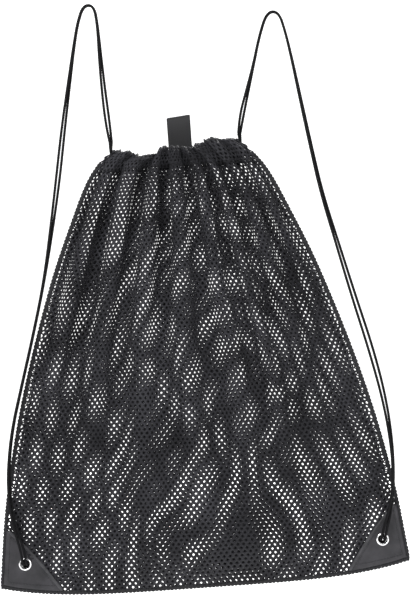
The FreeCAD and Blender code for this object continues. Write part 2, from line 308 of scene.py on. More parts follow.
def piping_material():
    made, tree, shader = material("piping_grain", 0.42, coat=0.1)
    put(shader, "Coat Roughness", 0.3)
    place = place_node(tree)
    cloud = noise(tree, place, 0.15, 3.0)
    tint(tree, shader, cloud, (0.020, 0.020, 0.022), (0.038, 0.038, 0.042), 0.35, 0.65)
    bumps(tree, shader, [(cells(tree, place, 1.3), 0.08, 0.4)])
    return made


def braid_material():
    """Braided polyester cord: two crossing sets of yarns over the tube's own relief."""
    made, tree, shader = material("cord_braid", 0.6, gloss=0.08)
    place = place_node(tree)
    slanting = wave(tree, place, 0.36, "DIAGONAL", 0.4)
    crossing = mixed(tree, slanting, wave(tree, place, 0.30, "Z", 0.6), "ADD")
    fuzz = noise(tree, place, 3.0, 2.0)
    tint(tree, shader, fuzz, (0.002, 0.002, 0.0023), (0.0075, 0.0075, 0.0085), 0.3, 0.75)
    bumps(tree, shader, [(crossing, 0.15, 0.6), (fuzz, 0.05, 0.4)])
    return made


def webbing_material():
    """Flat-woven tape with ribs across its width."""
    made, tree, shader = material("tape_weave", 0.6, sheen=0.08)
    place = place_node(tree)
    weave = mixed(tree, wave(tree, place, 0.26, "X"), wave(tree, place, 0.30, "Z"), "MULTIPLY")
    fuzz = noise(tree, place, 2.5, 2.0)
    uneven = mixed(tree, weave, fuzz, "ADD")
    tint(tree, shader, uneven, (0.009, 0.009, 0.010), (0.022, 0.022, 0.0235), 0.4, 1.3)
    bumps(tree, shader, [(weave, 0.3, 0.7), (fuzz, 0.06, 0.4)])
    return made


def thread_material():
    made, tree, shader = material("sewing_thread", 0.55, sheen=0.05)
    place = place_node(tree)
    twist = wave(tree, place, 0.9, "DIAGONAL", 0.5)
    tint(tree, shader, twist, (0.008, 0.008, 0.009), (0.022, 0.022, 0.025), 0.2, 0.8)
    bumps(tree, shader, [(twist, 0.08, 0.5)])
    return made


def binding_material():
    """The seam's rolled cloth under its overlock threads."""
    made, tree, shader = material("seam_binding", 0.65, sheen=0.05)
    place = place_node(tree)
    fuzz = noise(tree, place, 1.6, 3.0)
    tint(tree, shader, fuzz, (0.004, 0.004, 0.005), (0.012, 0.012, 0.014), 0.3, 0.7)
    bumps(tree, shader, [(fuzz, 0.2, 0.6), (wave(tree, place, 0.5, "Z", 1.0), 0.1, 0.4)])
    return made


def metal_material():
    made, tree, shader = material("nickel_plate", 0.16, metallic=1.0, gloss=0.5)
    place = place_node(tree)
    hazy = noise(tree, place, 0.5, 3.0)
    scratches = noise(tree, place_node(tree, (1, 0.2, 6)), 0.8, 3.0)
    tint(tree, shader, hazy, (0.62, 0.62, 0.63), (0.86, 0.86, 0.87), 0.3, 0.7)
    spread_roughness(tree, shader, scratches, 0.08, 0.3)
    bumps(tree, shader, [(scratches, 0.02, 0.2)])
    return made


LOOKS = {
    "mesh": knit_material(),
    "hem": knit_material(),
    "patch": leather_material(),
    "piping": piping_material(),
    "cord": braid_material(),
    "webbing": webbing_material(),
    "thread": thread_material(),
    "seam": binding_material(),
    "eyelet": metal_material(),
}


def solid(name, points, faces, look, body="bag"):
    """A smooth-shaded mesh object from points in metres. It rides on its body unless that is None."""
    data = bpy.data.meshes.new(name)
    data.from_pydata(np.asarray(points, float).tolist(), [], [list(map(int, f)) for f in faces])
    data.polygons.foreach_set("use_smooth", np.ones(len(data.polygons), bool))
    data.materials.append(LOOKS[look])
    data.update()
    made = bpy.data.objects.new(name, data)
    bpy.context.scene.collection.objects.link(made)
    if body is not None:
        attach(made, body)
    return made


# ---- the camera
VIEW_HEIGHT = 0.6616
CAMERA_BACK = 2.6
camera_data = bpy.data.cameras.new("camera")
camera_data.angle = 2 * math.atan(VIEW_HEIGHT / 2 / CAMERA_BACK)
camera = bpy.data.objects.new("camera", camera_data)
camera.location = (0.0297, -CAMERA_BACK, -0.3212)
camera.rotation_euler = (math.pi / 2, 0, 0)
bpy.context.scene.collection.objects.link(camera)
bpy.context.scene.camera = camera


# ---- cords
SAME_PLACE = 2e-5  # metres, under which two points are one
UPRIGHT = (0, -1, 0.05)  # sets a tube's first cross direction
FORWARD = (0, -1, 0)
END_SHRINK = 0.7  # a tube's end rings and tips, as shares of its radius
END_REACH = 0.35
CORD_SIDES = 14
STRAND_STEPS = 40  # points for each control point of a path
HEM_CORD_STEPS = 32
KNOT_STEPS = 12
TAB_STEPS = 10


def spline_points(points, resolution):
    """Points in metres along a NURBS spline that has the given points as its control points."""
    curve = bpy.data.curves.new("route", "CURVE")
    curve.dimensions = "3D"
    spline = curve.splines.new("NURBS")
    spline.points.add(len(points) - 1)
    for made, point in zip(spline.points, points):
        made.co = (*[float(v) for v in point], 1.0)
    spline.order_u = 3
    spline.use_endpoint_u = True
    curve.resolution_u = resolution
    holder = bpy.data.objects.new("route", curve)
    bpy.context.scene.collection.objects.link(holder)
    bpy.context.view_layer.update()
    line = bpy.data.meshes.new_from_object(holder)
    path = np.array([v.co for v in line.vertices], float)
    bpy.data.objects.remove(holder)
    bpy.data.curves.remove(curve)
    bpy.data.meshes.remove(line)
    moved = np.linalg.norm(np.diff(path, axis=0), axis=1)
    keep = np.concatenate([[True], moved > SAME_PLACE])
    return path[keep]


def distance_along(points):
    """How far along a line of points each of them is."""
    return running(np.linalg.norm(np.diff(points, axis=0), axis=1))


def frames(path, up=UPRIGHT):
    """A direction and two cross directions at each point, turned as little as possible."""
    ahead = np.gradient(path, axis=0)
    ahead /= np.linalg.norm(ahead, axis=1)[:, None]
    side = np.cross(ahead[0], up)
    if np.linalg.norm(side) < 1e-3:
        side = np.cross(ahead[0], (1, 0, 0))
    side /= np.linalg.norm(side)
    sides = [side]
    for direction in ahead[1:]:
        side = sides[-1] - direction * np.dot(sides[-1], direction)
        sides.append(side / np.linalg.norm(side))
    sides = np.array(sides)
    return ahead, sides, np.cross(ahead, sides)


def swept(path, radii, around, wide=1.0, deep=1.0, relief=None, up=UPRIGHT):
    """Points and faces of a closed tube along a path. relief(along, angle) scales the radius."""
    ahead, sides, backs = frames(path, up)
    along = distance_along(path)
    angles = np.arange(around) * TURN / around
    radii = np.broadcast_to(radii, len(path)).astype(float)
    size = np.repeat(radii[:, None], around, 1)
    if relief is not None:
        size = size * relief(along[:, None] / MM, angles[None, :])
    across = (np.cos(angles) * wide)[None, :, None] * sides[:, None, :]
    through = (np.sin(angles) * deep)[None, :, None] * backs[:, None, :]
    rings = path[:, None, :] + size[:, :, None] * (across + through)
    reach = radii[0] * min(wide, deep)
    rings[0] = path[0] + (rings[0] - path[0]) * END_SHRINK
    rings[-1] = path[-1] + (rings[-1] - path[-1]) * END_SHRINK
    near = path[0] - ahead[0] * reach * END_REACH
    far = path[-1] + ahead[-1] * reach * END_REACH
    tips = np.array([near, far])
    points = np.concatenate([rings.reshape(-1, 3), tips])
    rows, columns = np.meshgrid(np.arange(len(path) - 1), np.arange(around), indexing="ij")
    following = (columns + 1) % around
    a = rows * around + columns
    b = rows * around + following
    quads = np.stack([a, b, b + around, a + around], -1).reshape(-1, 4).tolist()
    first, last = len(rings) * around, len(rings) * around + 1
    end = (len(path) - 1) * around
    for i in range(around):
        j = (i + 1) % around
        quads.append([first, j, i])
        quads.append([last, end + i, end + j])
    return points, quads


BRAID_PITCH = 5.6
BRAID_YARNS = 4
BRAID_RELIEF = 0.055


def braid(along, angle):
    """The relief of two sets of yarns that wind round a cord in opposite ways."""
    one = np.cos(BRAID_YARNS * angle + TURN * along / BRAID_PITCH * 2)
    other = np.cos(BRAID_YARNS * angle - TURN * along / BRAID_PITCH * 2)
    return 1 - BRAID_RELIEF / 2 + BRAID_RELIEF * np.maximum(one, other)


def cord_piece(name, points, resolution, body="bag"):
    path = spline_points(points, resolution)
    mesh_points, faces = swept(path, CORD / 2 * MM, CORD_SIDES, relief=braid)
    return solid(name, mesh_points, faces, "cord", body), path


def strand_points(strap, side):
    """One strand of a strap, which stays a cord's width away from the other all the way."""
    points = []
    for x, y, z, half_gap in strap:
        depth = math.sqrt(max(0.0, CORD_PITCH**2 - half_gap**2))
        points.append(((x + side * half_gap) * MM, (y + side * depth) * MM, z * MM))
    return points


def hem_cord_points(which):
    out = {"left": -1, "right": 1}[which]
    front = []
    for index, (towards, y, z) in enumerate(HEM_RUN):
        lowered = z if index < HEM_RUN_EXIT else z - HEM_RUN_DROP[which]
        front.append((out * towards, y, lowered))
    back = [(x, -y, z) for x, y, z in reversed(front)]
    back[-1] = (out * (2 * EXIT_ACROSS - HEM_RUN[0][0]), HEM_RUN_BACK, HEM_RUN[0][2])
    return hung(front + back)


for which, strap in (("left", LEFT_STRAP), ("right", RIGHT_STRAP)):
    for place, side in (("front", -1), ("back", 1)):
        name = f"{which}_{place}_strand_braid"
        piece, path = cord_piece(name, strand_points(strap, side), STRAND_STEPS, which + "_strap")
        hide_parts(f"{which}_strap_{place}_strand")
    piece, path = cord_piece(which + "_hem_cord_braid", hem_cord_points(which), HEM_CORD_STEPS)
    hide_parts(which + "_hem_cord")


# ---- the folded sheet of each side
CLOTH_WIDTH = 448.0
HALF_CLOTH = CLOTH_WIDTH / 2
SHEET_COLUMNS = 449
SHEET_ROWS = 161
# How much of the cloth's width is left to be seen where the net is squeezed by the gathering
EASE = [(0, 0.80), (30, 0.82), (90, 0.93), (170, 1.0)]
# Where the large folds of the front (-1) and of the back (1) dip in, as a share of the cloth's half
# width, with a running number
VALLEYS = {
    -1: [
        (-1, 0), (-0.72, 1), (-0.42, 2), (-0.14, 3), (0.13, 4), (0.36, 5), (0.57, 6), (0.80, 7),
        (1, 8),
    ],
    1: [
        (-1, 0), (-0.83, 1), (-0.60, 2), (-0.30, 3), (-0.02, 4), (0.26, 5), (0.50, 6), (0.70, 7),
        (1, 8),
    ],
}
# The back goes over to folds of its own between these distances below the neck, and between these
# half depths, where the sack is deep enough for both
OWN_FOLDS_BELOW = (60, 150)
OWN_FOLDS_DEPTH = (7, 26)
DRIFT_BELOW = (60, 260)  # where the large folds begin to wander
LARGE_FOLDS = [(0, 0.8), (30, 0.95), (60, 1.0), (480, 1.0)]
RUFFLES = 19
SMALL_FOLDS = [(0, 0.45), (16, 0.3), (34, 0.15), (75, 0.05), (130, 0.0)]
STEEPEST = 1.72  # radians: the folds overhang a little
EDGE_CALM = 0.07  # the folds fade out over this share at each side
PROFILE_STEPS = 801
HALVINGS = 40
STRONGEST = 3.0
TREND_WINDOW = 129  # columns over which a row's drift is taken out
DOWNWARD_BLUR = np.array([1, 4, 6, 4, 1]) / 16


def fold_row(q, side):
    """One row of the cloth, folded until it is as wide as the sack is there.

    Along the cloth: the share of the sack's width, the fold's height and the small ruffle.
    """
    cloth = np.linspace(-1, 1, SHEET_COLUMNS)
    shares = np.linspace(-1, 1, PROFILE_STEPS)
    across, depth = skin(shares, sagged(shares, q))
    reach = running(np.hypot(np.diff(across), np.diff(depth)))
    width = CLOTH_WIDTH * float(smooth(EASE, q))
    drift = 0.10 * np.sin(3.1 * cloth + q * 0.011) + 0.05 * np.sin(7.0 * cloth - q * 0.017)
    large = np.sin(TURN * (smooth(VALLEYS[side], cloth) + drift * step(*DRIFT_BELOW, q)))
    wobble = 0.35 * np.sin(9.0 * cloth + 1.3) + 0.22 * np.sin(17.0 * cloth + q * 0.02)
    small = np.sin(TURN * (RUFFLES * 0.5 * cloth + 0.25 + wobble))
    calm = step(0.0, EDGE_CALM, 1 - np.abs(cloth))
    lean = (float(smooth(LARGE_FOLDS, q)) * large + float(smooth(SMALL_FOLDS, q)) * small) * calm
    low, high = 0.0, STRONGEST
    piece = width / (SHEET_COLUMNS - 1)
    for _ in range(HALVINGS):
        middle = (low + high) / 2
        angle = np.clip(middle * lean, -STEEPEST, STEEPEST)
        if np.sum(np.cos(angle)) * piece > reach[-1]:
            low = middle
        else:
            high = middle
    angle = np.clip(low * lean, -STEEPEST, STEEPEST)
    onward = running((np.cos(angle[1:]) + np.cos(angle[:-1])) / 2)
    outward = running((np.sin(angle[1:]) + np.sin(angle[:-1])) / 2) * piece
    onward *= reach[-1] / onward[-1]
    kernel = np.hanning(TREND_WINDOW)
    kernel /= kernel.sum()
    padded = np.pad(outward, TREND_WINDOW // 2, mode="edge")
    trend = np.convolve(padded, kernel, "valid")
    outward = (outward - trend) * calm
    return np.interp(onward, reach, shares), outward, small * calm


def sheet_grid(side):
    """The rows of fold_row at even steps below the neck, blurred a little from row to row."""
    steps = np.linspace(0, FALL - SEAM_COVER, SHEET_ROWS)
    rows = [fold_row(q, side) for q in steps]
    share = np.array([r[0] for r in rows])
    fold = np.array([r[1] for r in rows])
    small = np.array([r[2] for r in rows])
    for grid in (share, fold):
        padded = np.pad(grid, ((2, 2), (0, 0)), mode="edge")
        grid[:] = sum(k * padded[i:i + len(grid)] for i, k in enumerate(DOWNWARD_BLUR))
    return steps, share, fold, small


Q_STEPS, SHARE, FOLD, SMALL = sheet_grid(-1)
_, BACK_SHARE, BACK_FOLD, _ = sheet_grid(1)
DEEP_ENOUGH = step(*OWN_FOLDS_DEPTH, half_depth(SHARE, Q_STEPS[:, None]))
OWN = step(*OWN_FOLDS_BELOW, Q_STEPS)[:, None] * DEEP_ENOUGH
SHARES = {-1: SHARE, 1: SHARE + OWN * (BACK_SHARE - SHARE)}
FOLDS = {-1: FOLD, 1: FOLD + OWN * (BACK_FOLD - FOLD)}


def read(grid, s, q):
    """Bilinear reading of a sheet grid at cloth places s (-1 to 1) and q (millimetres below)."""
    i = (np.clip(s, -1, 1) + 1) / 2 * (SHEET_COLUMNS - 1)
    j = np.clip(q / Q_STEPS[-1], 0, 1) * (SHEET_ROWS - 1)
    i0 = np.minimum(i.astype(int), SHEET_COLUMNS - 2)
    j0 = np.minimum(j.astype(int), SHEET_ROWS - 2)
    a, b = i - i0, j - j0
    top = grid[j0, i0] * (1 - a) + grid[j0, i0 + 1] * a
    foot = grid[j0 + 1, i0] * (1 - a) + grid[j0 + 1, i0 + 1] * a
    return top * (1 - b) + foot * b


def cloth_point(s, q, out, side):
    """A point of the folded cloth in the sack's frame. side is -1 for the front and 1 for the back."""
    share = read(SHARES[side], s, q)
    fold = read(FOLDS[side], s, q)
    below = sagged(share, q)
    across, depth = skin(share, below)
    return np.stack([across, side * (depth + out) - fold, -below], -1)


CLOTH_OUT = 0.5  # from the sack's skin to the net
NECK_OUT = 4.5  # and this much more under the hems
NECK_OUT_BELOW = (40, 150)
# Slow wandering of the grain: millimetres, waves across and down, and their start
WANDER = {
    -1: [(2.2, 1.3, 2.1, 0.4), (1.3, 2.9, -1.7, 2.2), (0.7, 5.3, 4.4, 4.0)],
    1: [(2.0, 1.7, -1.9, 1.1), (1.5, 2.3, 2.6, 5.0), (0.8, 4.7, -5.2, 0.7)],
}
WANDER_BELOW = (0, 60)
WANDER_LENGTH = 80.0
GRAIN_SLANT = {-1: -4.0, 1: 9.0}  # how far the grain runs sideways
GRAIN_DROOP = {-1: 1.5, 1: -7.0}  # and down in the middle


def panel_point(s, q, side):
    """A point of a panel's net, whose grain slants, droops and wanders over the folded cloth."""
    half = (FALL - HEM_HEIGHT) / 2
    downward = (q - HEM_HEIGHT - half) / half
    fading = 1 - np.clip(downward, -1, 1) ** 2
    q = q + GRAIN_DROOP[side] * fading * np.sin(math.pi * s + 0.6)
    s = s + (1 - s**2) * GRAIN_SLANT[side] * downward / HALF_CLOTH
    for height, across, down, start in WANDER[side]:
        inside = (1 - s**2) * step(*WANDER_BELOW, q) * height / HALF_CLOTH
        s = s + inside * np.sin(across * 3 * s + down * q / WANDER_LENGTH + start)
    out = CLOTH_OUT + NECK_OUT * (1 - step(*NECK_OUT_BELOW, q)) * (1 - s**2)
    return cloth_point(s, q, out, side)


# ---- the net
# Across and down, in millimetres. The back is drawn a little wider and shorter by the load.
PITCH = {-1: (5.9, 8.15), 1: (7.1, 7.6)}
HOLE_ACROSS = 0.41  # as shares of a mesh
HOLE_DOWN = 0.48
STRAND_RISE = 0.45  # of a thread's ridge on each side
SPILL = 0.6  # how far meshes may pass the top and the foot
KEYS_PER_MM = 20  # corners with the same rounded key are one
NUDGE = 0.4  # half the step for a surface's directions
HEXAGON = [(0, 0.386), (0.5, 0.114), (0.5, -0.114), (0, -0.386), (-0.5, -0.114), (-0.5, 0.114)]


def outward_at(place, x, q):
    """Unit directions across the surface that place maps."""
    du = place(x + NUDGE, q) - place(x - NUDGE, q)
    dv = place(x, q + NUDGE) - place(x, q - NUDGE)
    normal = np.cross(du, dv)
    normal /= np.linalg.norm(normal, axis=1)[:, None] + TINY
    return normal


def net(place, top, foot, pitch, hidden=None):
    """A net of six-sided meshes over cloth coordinates in millimetres, mapped by place(x, down).

    Each mesh has ridges in front and behind along its shared sides and a hole edge between them.
    """
    columns = int(round(CLOTH_WIDTH / pitch[0]))
    across = CLOTH_WIDTH / columns
    rows = int(round((foot - top) / (pitch[1] / 2)))
    down = (foot - top) / rows * 2
    middles = []
    for j in range(rows):
        offset = 0.5 if j % 2 else 0.0
        for i in range(columns - j % 2):
            middles.append(((i + 0.5 + offset) * across - HALF_CLOTH, top + (j + 0.5) * down / 2))
    middles = np.array(middles)
    if hidden is not None:
        middles = middles[~hidden(middles[:, 0], middles[:, 1])]
    shape = np.array(HEXAGON) * (across, down)
    corners = middles[:, None, :] + shape[None]
    corners[:, :, 0] = np.clip(corners[:, :, 0], -HALF_CLOTH, HALF_CLOTH)
    corners[:, :, 1] = np.clip(corners[:, :, 1], top - SPILL, foot + SPILL)
    keys = np.round(corners.reshape(-1, 2) * KEYS_PER_MM).astype(int)
    _, first, shared = np.unique(keys, axis=0, return_index=True, return_inverse=True)
    shared = shared.reshape(-1, 6)
    ridge = corners.reshape(-1, 2)[first]
    holes = (middles[:, None, :] + shape[None] * (HOLE_ACROSS, HOLE_DOWN)).reshape(-1, 2)
    flat = np.concatenate([ridge, holes])
    base = place(flat[:, 0], flat[:, 1])
    normal = outward_at(place, flat[:, 0], flat[:, 1])
    count = len(ridge)
    rise = normal[:count] * STRAND_RISE
    points = np.concatenate([base[:count] + rise, base[:count] - rise, base[count:]])
    following = np.roll(np.arange(6), -1)
    a, b = shared, shared[:, following]
    hole = 2 * count + np.arange(len(middles) * 6).reshape(-1, 6)
    c, d = hole[:, following], hole
    solid_side = a != b
    front = np.stack([a, b, c, d], -1)[solid_side]
    behind = np.stack([b + count, a + count, d, c], -1)[solid_side]
    faces = np.concatenate([front, behind])
    low, high = np.minimum(a, b)[solid_side], np.maximum(a, b)[solid_side]
    code = low.astype(np.int64) * (count + 1) + high
    _, where, times = np.unique(code, return_index=True, return_counts=True)
    single = where[times == 1]
    sa, sb = a[solid_side][single], b[solid_side][single]
    border = np.stack([sb, sa, sa + count, sb + count], -1)
    return points, np.concatenate([faces, border])


PATCH_OVERLAP = 8.0  # of the net under a patch's long edge
PATCH_TOP_SHARE = 0.12  # and under its top, as a share of its height
NET_RISE = 1.5  # how far the net reaches up under the hem


def under_patch(x, q):
    """Whether a mesh lies well inside a corner patch, where the net isn't needed."""
    share = read(SHARE, x / HALF_CLOTH, q)
    inward = (1 - np.abs(share)) * (half_width(q) - SEAM_WIDTH - SEAM_GAP)
    down = (q - (FALL - PATCH_RISE)) / (PATCH_RISE - SEAM_WIDTH)
    return (down > PATCH_TOP_SHARE) & (inward < down * PATCH_RUN - PATCH_OVERLAP)


def make_panel(name, side, replaced):
    def place(x, q):
        return panel_point(x / HALF_CLOTH, q, side)

    points, faces = net(place, HEM_HEIGHT - NET_RISE, FALL - SEAM_COVER, PITCH[side], under_patch)
    piece = solid(name, hung(points), faces, "mesh")
    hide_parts(replaced)
    return piece


front_net = make_panel("front_net", -1, "front_panel")
back_net = make_panel("back_net", 1, "back_panel")


# ---- the hems
# Each table starts at the hem's top. Out from the sack's inside to the hem's middle:
HEM_MIDDLE = [(0, 4.2), (11, 4.5), (27, 4.7)]
# Half the space between its layers, which holds the cord:
HEM_OPEN = [(0, 0.5), (5, 2.3), (12, 2.4), (20, 2.3), (26, 0.55)]
# How far both layers share the folds, and how far only the outer layer has them:
HEM_TOGETHER = [(0, 0.0), (19, 0.0), (27, 0.7), (34, 1.0)]
HEM_APART = [(0, 0.75), (5, 0.9), (13, 0.9), (27, 0.0)]
RUFFLE_RISE = 1.0
LIP = 2.2  # how soon the two layers part under the edge
BULGE_START = 6.0  # deeper folds leave the outer layer where it is
BULGE_MOST = 17.0
RUFFLE_LIFT = 1.1
# How far the gathered top edge stands above the neck's level, along the cloth
SCALLOP = [
    (-1, -3.5), (-0.86, -5.5), (-0.73, -9.2), (-0.55, -12.6), (-0.40, -10.5), (-0.30, -5.6),
    (-0.12, -4.4),
    (0.27, -6.6), (0.48, -5.8), (0.58, -1.6), (0.70, 1.9), (0.80, 0.8), (0.90, 1.2), (1, -0.5),
]


def hem_point(x, r, side):
    """A point of the folded hem in the sack's frame.

    r runs from the inner layer's foot, where it is negative, over the top to the outer layer's foot.
    """
    s = x / HALF_CLOTH
    q = np.abs(r)
    layer = np.tanh(r / LIP)
    share = read(SHARE, s, q)
    below = sagged(share, q)
    across, depth = skin(share, below)
    fold = read(FOLD, s, q)
    ruffle = RUFFLE_RISE * (1 + read(SMALL, s, q))
    own = -side * fold
    bulge = np.clip(own + BULGE_START, 0, BULGE_MOST) * step(-0.3, 0.8, layer)
    middle = depth + smooth(HEM_MIDDLE, q)
    apart = smooth(HEM_OPEN, q) + ruffle * step(0.0, 1.0, smooth(HEM_APART, q))
    out = middle + layer * apart + bulge * smooth(HEM_APART, q)
    y = side * out - fold * smooth(HEM_TOGETHER, q)
    widened = step(0.3, 1, np.abs(share)) * (1 - step(14, 27, q)) * SEAM_WIDTH / half_width(q)
    across = across * (1 + widened)
    lift = smooth(SCALLOP, s) * (1 - step(0, 22, q))
    lift = lift + RUFFLE_LIFT * read(SMALL, s, q) * (1 - step(0, 9, q))
    return np.stack([across, y, lift - below], -1)


def make_hem(name, side, replaced):
    def place(x, r):
        return hem_point(x, r, side)

    points, faces = net(place, 1 - HEM_HEIGHT, HEM_HEIGHT, PITCH[-1])
    piece = solid(name, hung(points), faces, "hem")
    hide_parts(replaced)
    return piece


front_hem = make_hem("front_hem_net", -1, "front_hem")
back_hem = make_hem("back_hem_net", 1, "back_hem")


# ---- stitches and seams
STITCH_SIDES = 6
# One stitch: places along it, and there its height and its radius as shares of its thickness
STITCH_PLACES = np.array([-0.5, -0.38, -0.15, 0.15, 0.38, 0.5])
STITCH_RISE = np.array([-0.5, 0.35, 0.8, 0.8, 0.35, -0.5])
STITCH_SIZE = np.array([0.35, 0.85, 1.0, 1.0, 0.85, 0.35])
STITCH_AIM = 0.5  # a stitch's direction is taken this far each way
HEM_STITCH_INSET = 2.6  # from the hem's foot
HEM_STITCH_MARGIN = 6.0  # from the cloth's sides
HEM_STITCH_SAMPLES = 900


def capsule(middle, along, out, length, thickness):
    """One stitch, a short thread that dips into the cloth at both ends."""
    along = along / np.linalg.norm(along)
    out = out / np.linalg.norm(out)
    side = np.cross(along, out)
    rise = STITCH_RISE * thickness
    size = STITCH_SIZE * thickness / 2
    rings = []
    for place, up, radius in zip(STITCH_PLACES, rise, size):
        heart = middle + along * place * length + out * up
        for k in range(STITCH_SIDES):
            angle = k * TURN / STITCH_SIDES
            rings.append(heart + radius * (math.cos(angle) * side + math.sin(angle) * out))
    faces = []
    for ring in range(len(STITCH_PLACES) - 1):
        near, far = ring * STITCH_SIDES, (ring + 1) * STITCH_SIDES
        for k in range(STITCH_SIDES):
            n = (k + 1) % STITCH_SIDES
            faces.append([near + k, near + n, far + n, far + k])
    faces.append(list(range(STITCH_SIDES))[::-1])
    faces.append([far + k for k in range(STITCH_SIDES)])
    return np.array(rings), faces


def read_line(at, along, line):
    """Reads a line of points or of directions at distances along it."""
    return np.stack([np.interp(at, along, line[:, k]) for k in range(3)], -1)


def stitch_row(name, points, outs, length, spacing, thickness=0.55):
    """Stitches at even steps along a line of points, all in the sack's frame in millimetres."""
    along = distance_along(points)
    places = np.arange(spacing / 2, along[-1], spacing)
    all_points, all_faces, start = [], [], 0
    for place in places:
        middle = read_line(place, along, points)
        behind = read_line(place - STITCH_AIM, along, points)
        beyond = read_line(place + STITCH_AIM, along, points)
        out = read_line(place, along, outs)
        mesh_points, faces = capsule(middle, beyond - behind, out, length, thickness)
        all_points.append(mesh_points)
        all_faces += [[start + i for i in f] for f in faces]
        start += len(mesh_points)
    solid(name, hung(np.concatenate(all_points)), all_faces, "thread")


def hem_stitches(name, side):
    def place(x, r):
        return hem_point(x, r, side)

    end = HALF_CLOTH - HEM_STITCH_MARGIN
    x = np.linspace(-end, end, HEM_STITCH_SAMPLES)
    r = np.full(len(x), HEM_HEIGHT - HEM_STITCH_INSET)
    outs = outward_at(place, x, r)
    outs *= np.sign(side * outs[:, 1].sum())
    stitch_row(name, place(x, r) + outs * 0.4, outs, 2.6, 3.4)


hem_stitches("front_hem_stitches", -1)
hem_stitches("back_hem_stitches", 1)

SEAM_STEP = 0.7
SEAM_RADIUS = 1.75
SEAM_WIDE = 1.36  # as shares of that radius
SEAM_DEEP = 0.80
SEAM_SIDES = 14
SEAM_SWELL = 11.0
OVERLOCK_PITCH = 4.2
OVERLOCK_STEPS = 12
OVERLOCK_WIDE = 2.42  # half the size of the winding
OVERLOCK_DEEP = 1.5
OVERLOCK_RADIUS = 0.30
OVERLOCK_SIDES = 5


def seam_relief(along, angle):
    pinched = 0.17 * np.sin(TURN * along / OVERLOCK_PITCH) * np.abs(np.cos(angle))
    return 1 + pinched + 0.05 * np.sin(TURN * along / SEAM_SWELL)


def make_seam(name, line, replaced):
    """The rolled edge of both panels, with its overlock thread wound over it."""
    path = hung(line)
    radius = SEAM_RADIUS * MM
    points, faces = swept(path, radius, SEAM_SIDES, SEAM_WIDE, SEAM_DEEP, seam_relief, FORWARD)
    piece = solid(name, points, faces, "seam")
    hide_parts(replaced)
    _, sides, backs = frames(path, FORWARD)
    along = distance_along(path) / MM
    turns = along[-1] / OVERLOCK_PITCH
    fine = np.linspace(0, along[-1], int(turns * OVERLOCK_STEPS))
    angle = fine / OVERLOCK_PITCH * TURN
    side = np.cos(angle)[:, None] * read_line(fine, along, sides) * OVERLOCK_WIDE
    back = np.sin(angle)[:, None] * read_line(fine, along, backs) * OVERLOCK_DEEP
    coil = read_line(fine, along, path) + MM * (side + back)
    points, faces = swept(coil, OVERLOCK_RADIUS * MM, OVERLOCK_SIDES)
    solid(name + "_overlock", points, faces, "thread")


def side_line(out):
    below = np.arange(HEM_HEIGHT - 9, FALL - 1.5, SEAM_STEP)
    across = half_width(below) - SEAM_WIDTH / 2 - 0.2
    return np.stack([out * across, np.zeros(len(below)), -below], 1)


def bottom_line():
    share = np.linspace(-0.995, 0.995, 640)
    level = SEAM_WIDTH / 2 - bottom_edge(share)
    return np.stack([share * half_width(FALL), np.zeros(len(share)), level], 1)


make_seam("left_seam_edge", side_line(-1), "left_side_seam")
make_seam("right_seam_edge", side_line(1), "right_side_seam")
make_seam("bottom_seam_edge", bottom_line(), "bottom_seam")


# ---- corner patches
PATCH_OUT = 1.35  # from the sack's skin to the patch
PATCH_THICKNESS = 0.9
PATCH_PUFF = 0.35  # thicker in the middle
PATCH_TIP = 0.03  # the cut-off top, as a share of the height
PATCH_ROWS = 26
PATCH_SEW = 4.6  # from its edges to the sewing
PATCH_SEW_SAMPLES = 60
BARREL = 5.4
HOLE_SIDES = 28
HOLE_PLAY = 0.2  # between the barrel and the hole's edge
HOLE_CLEAR = 1.2  # from the barrel to the patch's other points
PLAN_NUDGE = 1e-4
PIPING = 1.25


def patch_at(down, over, out, x_side, y_side):
    """A point over a corner: down from the patch's top, and over from the seam to its long edge."""
    level = FALL - PATCH_RISE + down * (PATCH_RISE - SEAM_COVER)
    edge = half_width(level) - SEAM_COVER
    share = (edge - down * PATCH_RUN * over) / edge
    level = level + down**2 * (bottom_edge(share) - FALL)
    across, depth = skin(share, level)
    return np.stack([x_side * across, y_side * (depth + out), -level], -1)


